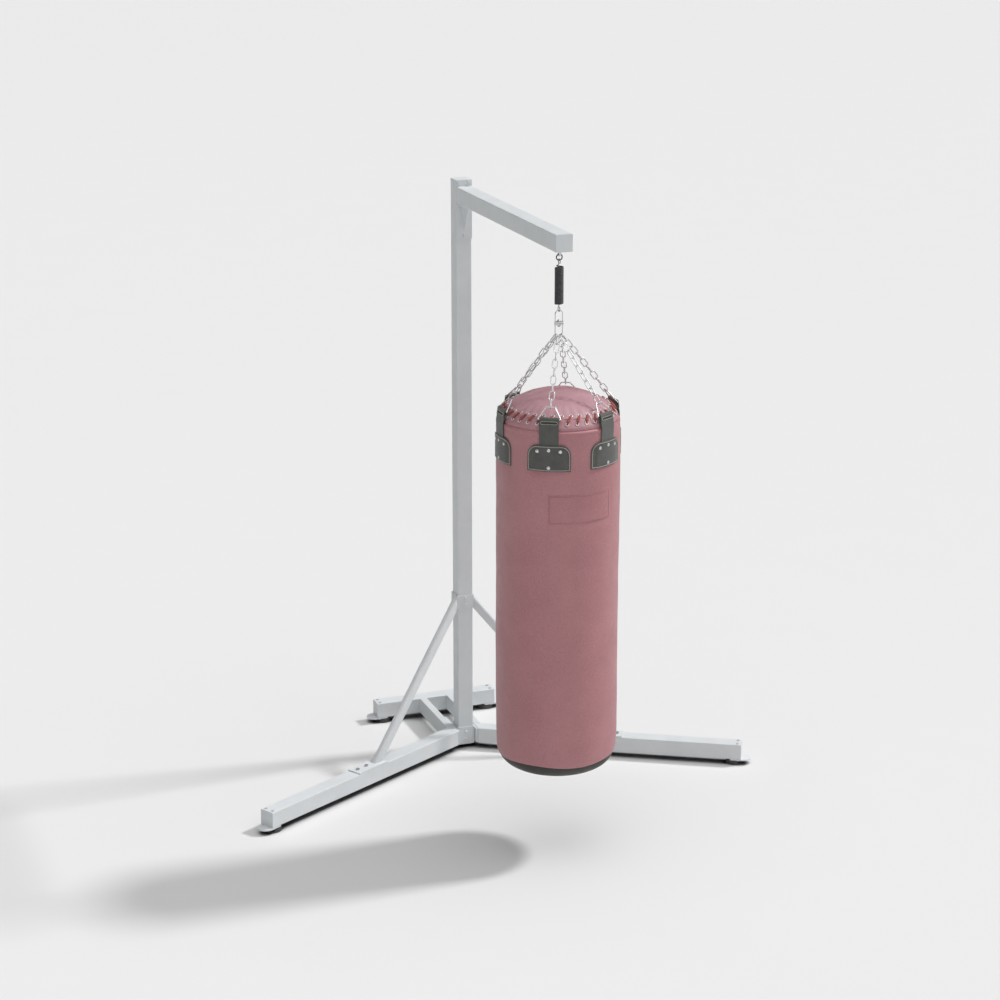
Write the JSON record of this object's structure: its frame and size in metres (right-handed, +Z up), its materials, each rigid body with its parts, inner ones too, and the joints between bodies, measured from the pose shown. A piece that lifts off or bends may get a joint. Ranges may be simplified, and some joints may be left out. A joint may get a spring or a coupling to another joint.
{
  "type": "punching bag on stand",
  "caption": "Cylindrical punching bag with laced top and riveted straps, hung by chains, swivel and spring from the arm of a free-standing steel stand.",
  "frame": {"origin": "middle of the whole object's box at floor level, midway between the bag's front and the rear crossbar", "axes": "+Z up, -Y the way the arm points, +X to the right of someone who looks along +Y at the bag's front"},
  "size_m": [1.6296, 1.3204, 1.861],
  "materials": {
    "frame_paint": "satin",
    "zinc": "satin",
    "black_steel": "satin",
    "rubber": "matte",
    "bag_skin": "satin",
    "label_skin": "satin",
    "base_skin": "satin",
    "strap_leather": "matte",
    "lace": "matte",
    "felt": "matte",
    "filling": "matte"
  },
  "bodies": {
    "stand": {"column": "frame_paint", "column_cap": "frame_paint", "arm_plate": "frame_paint", "arm_tube": "frame_paint", "arm_end_cap": "frame_paint", "arm_gusset": "frame_paint", "arm_plate_bolts": "frame_paint", "hanger_lug": "frame_paint", "brace_collar": "frame_paint", "collar_back_plate": "frame_paint", "collar_bolts": "frame_paint", "brace_left": "frame_paint", "brace_right": "frame_paint", "brace_plate_left": "frame_paint", "brace_plate_right": "frame_paint", "brace_plate_bolts": "zinc", "base_bracket": "frame_paint", "base_bracket_bolts": "frame_paint", "hub_plates": "frame_paint", "leg_left": "frame_paint", "leg_right": "frame_paint", "rear_tube_left": "frame_paint", "rear_tube_right": "frame_paint", "rear_crossbar": "frame_paint", "tube_end_caps": "frame_paint", "foot_plates": "frame_paint", "rubber_feet": "rubber", "foot_bolts": "zinc"},
    "ring": {"hanging_ring": "black_steel"},
    "spring": {"spring_top_hook": "black_steel", "spring_coil": "black_steel"},
    "swivel_top": {"spring_bottom_hook": "black_steel", "swivel_upper_loop": "zinc"},
    "bag": {"swivel_lower_loop": "zinc", "swivel_bolt": "zinc", "swivel_washer": "zinc", "chain_1": "zinc", "chain_2": "zinc", "chain_3": "zinc", "chain_4": "zinc", "chain_5": "zinc", "chain_6": "zinc", "strap_rings": "zinc", "strap_1": "strap_leather", "strap_2": "strap_leather", "strap_3": "strap_leather", "strap_4": "strap_leather", "strap_5": "strap_leather", "strap_6": "strap_leather", "strap_patches": "strap_leather", "rivets": "zinc", "bag_shell": "bag_skin", "top_cover": "bag_skin", "lacing": "lace", "eyelets": "zinc", "bag_base": "base_skin", "bag_liner": "felt", "bag_fill": "filling", "label_panel": "label_skin"}
  },
  "joints": [
    {"name": "swing_front_back", "type": "hinge", "parent": "stand", "child": "ring", "pos_m": [0, -0.48231, 1.779], "axis": [1, 0, 0], "range_deg": [-30, 20]},
    {"name": "swing_sideways", "type": "hinge", "parent": "ring", "child": "spring", "pos_m": [0, -0.48231, 1.7705], "axis": [0, 1, 0], "range_deg": [-25, 25]},
    {"name": "spring_stretch", "type": "slide", "parent": "spring", "child": "swivel_top", "axis": [0, 0, -1], "range_m": [0, 0.025], "stiffness_N_per_m": 12000, "springref_m": -0.032, "deforming": ["spring_coil"]},
    {"name": "swivel_turn", "type": "hinge", "parent": "swivel_top", "child": "bag", "pos_m": [0, -0.48231, 1.5825], "axis": [0, 0, 1], "continuous": true}
  ]
}
